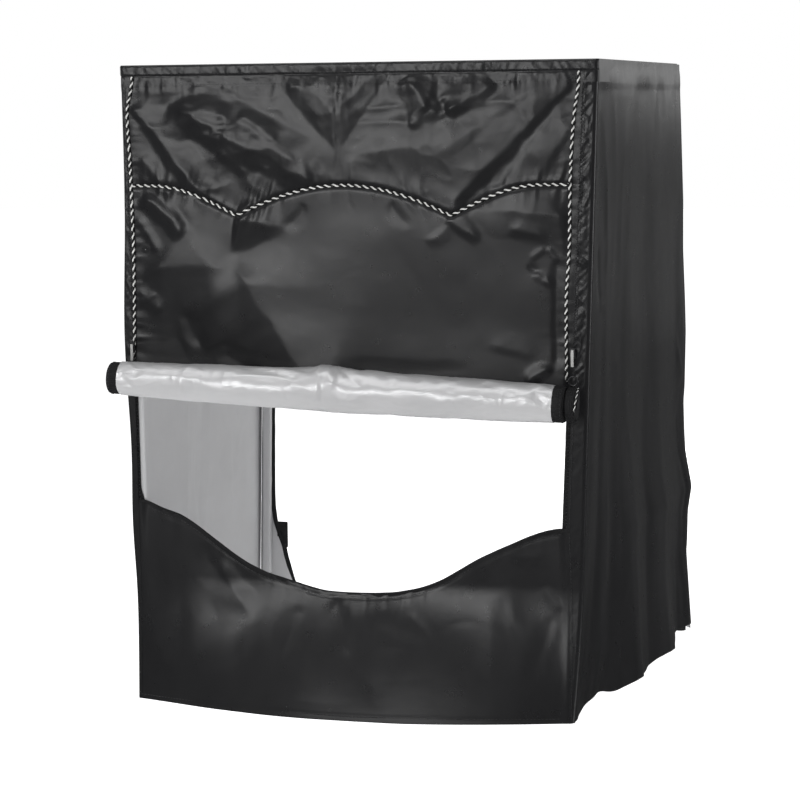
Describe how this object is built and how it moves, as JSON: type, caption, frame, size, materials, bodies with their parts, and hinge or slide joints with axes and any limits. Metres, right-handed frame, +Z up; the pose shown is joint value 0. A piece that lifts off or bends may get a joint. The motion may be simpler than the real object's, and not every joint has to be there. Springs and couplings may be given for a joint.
{
  "type": "printer enclosure tent",
  "caption": "Free-standing cloth enclosure on a hidden pole frame, with a front curtain that rolls up on a rod, side zips, a curved window sill and an open rear and base.",
  "frame": {"origin": "on the floor, at the middle of the tent", "axes": "+Z up, front curtain faces -Y, +X to the right as seen from the front"},
  "size_m": [0.606, 0.6694, 0.75],
  "materials": {
    "black_cloth": "satin",
    "silver_cloth": "satin",
    "webbing": "matte",
    "trim_cord": "matte",
    "pole": "satin",
    "fitting": "matte",
    "foot": "matte",
    "slider_metal": "satin",
    "pull": "gloss"
  },
  "bodies": {
    "root": {"front_left_leg": "pole", "front_right_leg": "pole", "rear_left_leg": "pole", "rear_right_leg": "pole", "top_front_rail": "pole", "top_rear_rail": "pole", "top_left_rail": "pole", "top_right_rail": "pole", "base_front_rail": "pole", "base_rear_rail": "pole", "base_left_rail": "pole", "base_right_rail": "pole", "top_front_left_corner": "fitting", "top_front_right_corner": "fitting", "top_rear_left_corner": "fitting", "top_rear_right_corner": "fitting", "base_front_left_corner": "fitting", "base_front_right_corner": "fitting", "base_rear_left_corner": "fitting", "base_rear_right_corner": "fitting", "leg_feet": "foot", "front_left_sleeve": "silver_cloth", "front_right_sleeve": "silver_cloth", "rear_left_sleeve": "silver_cloth", "rear_right_sleeve": "silver_cloth", "roof_panel": "black_cloth", "left_side_panel": "black_cloth", "right_side_panel": "black_cloth", "top_hem": "black_cloth", "front_left_border": "black_cloth", "front_right_border": "black_cloth", "lower_front_panel": "black_cloth", "window_binding": "webbing", "curtain_panel": "black_cloth", "left_zip_tape": "webbing", "right_zip_tape": "webbing", "rear_left_strip": "black_cloth", "rear_right_strip": "black_cloth", "rear_left_binding": "webbing", "rear_right_binding": "webbing", "left_trim_cord": "trim_cord", "right_trim_cord": "trim_cord", "scallop_trim_cord": "trim_cord"},
    "roll_carrier": {"hold_loop": "webbing", "hold_ring": "fitting"},
    "roll": {"curtain_roll": "silver_cloth", "roll_rod": "pole", "left_roll_band": "webbing", "right_roll_band": "webbing"},
    "left_slider": {"left_zip_slider": "slider_metal"},
    "right_slider": {"right_zip_slider": "slider_metal"},
    "left_pull": {"left_zip_pull": "pull"},
    "right_pull": {"right_zip_pull": "pull"},
    "left_tab": {"rear_left_tab": "webbing"},
    "right_tab": {"rear_right_tab": "webbing"}
  },
  "joints": [
    {"name": "curtain_drop", "type": "slide", "parent": "root", "child": "roll_carrier", "axis": [0, 0, -1], "range_m": [0, 0.223]},
    {"name": "roll_turn", "type": "hinge", "parent": "roll_carrier", "child": "roll", "pos_m": [-0.292, -0.306, 0.387], "axis": [0.9992, 0, -0.0404], "range_deg": [0, 569.9]},
    {"name": "left_zip_slide", "type": "slide", "parent": "root", "child": "left_slider", "axis": [0.012, 0, -0.9999], "range_m": [0, 0.224]},
    {"name": "right_zip_slide", "type": "slide", "parent": "root", "child": "right_slider", "axis": [-0.0412, 0, -0.9991], "range_m": [0, 0.224]},
    {"name": "left_pull_swing", "type": "hinge", "parent": "left_slider", "child": "left_pull", "pos_m": [-0.27404, -0.281, 0.423], "axis": [-1, 0, 0], "range_deg": [0, 110]},
    {"name": "right_pull_swing", "type": "hinge", "parent": "right_slider", "child": "right_pull", "pos_m": [0.25338, -0.281, 0.423], "axis": [-1, 0, 0], "range_deg": [0, 110]},
    {"name": "left_tab_swing", "type": "hinge", "parent": "root", "child": "left_tab", "pos_m": [-0.27505, 0.2744, 0.11], "axis": [0, 0, 1], "range_deg": [-75, 75]},
    {"name": "right_tab_swing", "type": "hinge", "parent": "root", "child": "right_tab", "pos_m": [0.27505, 0.2744, 0.11], "axis": [0, 0, 1], "range_deg": [-75, 75]}
  ],
  "couplings": [
    {"joint": "roll_turn", "follows": "curtain_drop", "rad_per_m": 44.444},
    {"joint": "left_zip_slide", "follows": "curtain_drop", "ratio": 1},
    {"joint": "right_zip_slide", "follows": "curtain_drop", "ratio": 1}
  ]
}
